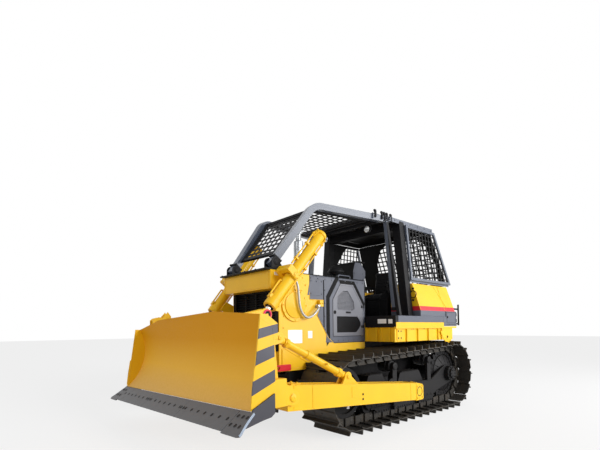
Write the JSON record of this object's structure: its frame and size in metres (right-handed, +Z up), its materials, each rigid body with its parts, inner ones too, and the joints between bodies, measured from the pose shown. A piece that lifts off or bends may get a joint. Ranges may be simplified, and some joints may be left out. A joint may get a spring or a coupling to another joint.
{
  "type": "crawler bulldozer",
  "caption": "Crawler bulldozer with a straight blade on two push arms, paired lift cylinders, hinged engine doors and a screened rollover canopy.",
  "frame": {"origin": "on the ground under the middle of the overall box, midway between the tracks", "axes": "+X forward to the blade, +Y to the machine's left, +Z up"},
  "size_m": [5.8399, 3.7284, 3.4],
  "materials": {
    "yellow_paint": "semi-gloss",
    "grey_panel": "semi-gloss",
    "tube_grey": "semi-gloss",
    "dark_paint": "satin",
    "bare_steel": "worn",
    "red_paint": "semi-gloss",
    "silver_paint": "satin",
    "chrome_rod": "polished",
    "hose_rubber": "satin",
    "seat_vinyl": "satin",
    "black_plastic": "matte",
    "lamp_glass": "clear"
  },
  "bodies": {
    "hull": {"air_precleaner": "dark_paint", "cab_support": "yellow_paint", "carrier_rollers": "dark_paint", "consoles": "grey_panel", "control_levers": "black_plastic", "cylinder_yokes": "yellow_paint", "dashboard": "dark_paint", "deck": "grey_panel", "drawbar": "bare_steel", "engine_block": "dark_paint", "exhaust_stack": "silver_paint", "fenders": "yellow_paint", "final_drives": "yellow_paint", "firewall": "dark_paint", "front_boxes": "dark_paint", "front_screen": "dark_paint", "fuel_tank": "dark_paint", "grab_rails": "tube_grey", "guard_cap": "dark_paint", "hood": "grey_panel", "idlers": "bare_steel", "lift_hoses": "hose_rubber", "main_frame": "yellow_paint", "radiator_grille": "dark_paint", "radiator_guard": "yellow_paint", "rear_boxes": "grey_panel", "rear_screen": "dark_paint", "rollover_frame": "tube_grey", "roof": "tube_grey", "seat_back": "seat_vinyl", "seat_base": "dark_paint", "seat_cushion": "seat_vinyl", "side_panels": "grey_panel", "side_screens": "dark_paint", "side_tanks": "yellow_paint", "sprockets": "bare_steel", "sweeps": "tube_grey", "tow_eyes": "red_paint", "track_frames": "yellow_paint", "track_left": "bare_steel", "track_right": "bare_steel", "track_rollers": "bare_steel", "work_lamps": "lamp_glass"},
    "blade": {"moldboard": "yellow_paint", "blade_frame": "yellow_paint", "blade_brackets": "yellow_paint", "lift_lugs": "yellow_paint", "end_plates": "yellow_paint", "end_bits": "bare_steel", "cutting_edge": "bare_steel", "push_arm_left": "yellow_paint", "push_arm_right": "yellow_paint", "arm_brace": "yellow_paint", "tilt_cylinder": "silver_paint"},
    "lift_barrel_left": {"lift_barrel_left": "yellow_paint"},
    "lift_barrel_right": {"lift_barrel_right": "yellow_paint"},
    "lift_rod_left": {"lift_rod_left": "chrome_rod"},
    "lift_rod_right": {"lift_rod_right": "chrome_rod"},
    "engine_door_left": {"engine_door_left": "grey_panel"},
    "engine_door_right": {"engine_door_right": "grey_panel"}
  },
  "joints": [
    {"name": "blade_lift", "type": "hinge", "parent": "hull", "child": "blade", "pos_m": [-0.45, 0, 0.52], "axis": [0, -1, 0], "range_deg": [-17.4, 1]},
    {"name": "lift_barrel_left_swing", "type": "hinge", "parent": "hull", "child": "lift_barrel_left", "pos_m": [1.35, 0.76, 2.178], "axis": [0, -1, 0], "range_deg": [-12.6, 0.8]},
    {"name": "lift_barrel_right_swing", "type": "hinge", "parent": "hull", "child": "lift_barrel_right", "pos_m": [1.35, -0.76, 2.178], "axis": [0, -1, 0], "range_deg": [-11.1, 0.8]},
    {"name": "lift_rod_left_slide", "type": "slide", "parent": "lift_barrel_left", "child": "lift_rod_left", "axis": [0.6585, 0, -0.7526], "range_m": [-0.043, 0.74]},
    {"name": "lift_rod_right_slide", "type": "slide", "parent": "lift_barrel_right", "child": "lift_rod_right", "axis": [0.6155, 0, -0.7881], "range_m": [-0.043, 0.74]},
    {"name": "engine_door_left_hinge", "type": "hinge", "parent": "hull", "child": "engine_door_left", "pos_m": [-0.378, 0.59, 1.755], "axis": [0, 0, 1], "range_deg": [0, 90]},
    {"name": "engine_door_right_hinge", "type": "hinge", "parent": "hull", "child": "engine_door_right", "pos_m": [-0.378, -0.59, 1.755], "axis": [0, 0, -1], "range_deg": [0, 90]}
  ],
  "couplings": [
    {"joint": "lift_barrel_left_swing", "follows": "blade_lift", "ratio": 0.72},
    {"joint": "lift_barrel_right_swing", "follows": "blade_lift", "ratio": 0.63},
    {"joint": "lift_rod_left_slide", "follows": "blade_lift", "m_per_rad": -2.42},
    {"joint": "lift_rod_right_slide", "follows": "blade_lift", "m_per_rad": -2.41}
  ]
}
